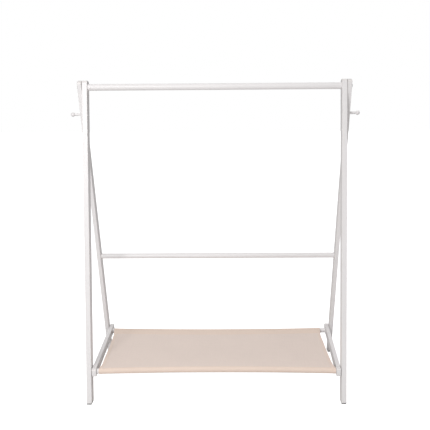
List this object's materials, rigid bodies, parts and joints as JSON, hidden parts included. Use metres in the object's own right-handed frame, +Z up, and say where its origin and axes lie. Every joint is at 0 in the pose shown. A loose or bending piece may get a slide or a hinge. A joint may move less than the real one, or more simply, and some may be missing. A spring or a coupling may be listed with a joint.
{
  "type": "folding clothes rack",
  "caption": "White wooden A-frame clothes rack with a top hanging rail, a lower rail, side pegs and a lift-off canvas shelf near the floor",
  "frame": {"origin": "on the floor at the middle of the footprint, centred left to right and front to back between the feet", "axes": "+X to the right seen from the front, +Y to the back, +Z up; the hanging rails run along X"},
  "size_m": [1.3732, 0.573, 1.5],
  "materials": {
    "white_wood": "white satin lacquer on solid wood",
    "canvas": "plain-woven undyed cotton canvas, pinkish beige",
    "foot_plastic": "moulded grey plastic",
    "spacer_nylon": "natural nylon",
    "zinc_steel": "bright zinc plating"
  },
  "bodies": {
    "front_frame": {"top_rail": "white_wood", "front_leg_left": "white_wood", "front_foot_left": "foot_plastic", "top_rail_insert_left": "zinc_steel", "pivot_bolt_left": "zinc_steel", "pivot_bolt_washer_left": "zinc_steel", "pivot_spacer_left": "spacer_nylon", "front_stud_left": "zinc_steel", "front_leg_right": "white_wood", "front_foot_right": "foot_plastic", "top_rail_insert_right": "zinc_steel", "pivot_bolt_right": "zinc_steel", "pivot_bolt_washer_right": "zinc_steel", "pivot_spacer_right": "spacer_nylon", "front_stud_right": "zinc_steel"},
    "rear_frame": {"lower_rail": "white_wood", "rear_leg_left": "white_wood", "rear_foot_left": "foot_plastic", "lower_rail_insert_left": "zinc_steel", "lower_rail_bolt_left": "zinc_steel", "peg_left": "white_wood", "rear_stud_left": "zinc_steel", "rear_leg_right": "white_wood", "rear_foot_right": "foot_plastic", "lower_rail_insert_right": "zinc_steel", "lower_rail_bolt_right": "zinc_steel", "peg_right": "white_wood", "rear_stud_right": "zinc_steel"},
    "shelf": {"shelf_rod_front": "white_wood", "shelf_rod_rear": "white_wood", "shelf_canvas": "canvas", "side_bar_left": "white_wood", "front_rod_screw_left": "zinc_steel", "rear_rod_screw_left": "zinc_steel", "side_bar_right": "white_wood", "front_rod_screw_right": "zinc_steel", "rear_rod_screw_right": "zinc_steel"}
  },
  "joints": [
    {"name": "rear_frame_fold", "type": "hinge", "parent": "front_frame", "child": "rear_frame", "pos_m": [0, 0, 1.46902], "axis": [1, 0, 0], "range_deg": [-18.2, 0]},
    {"name": "shelf_lift", "type": "slide", "parent": "front_frame", "child": "shelf", "axis": [0, 0, 1], "range_m": [0, 0.05]}
  ]
}
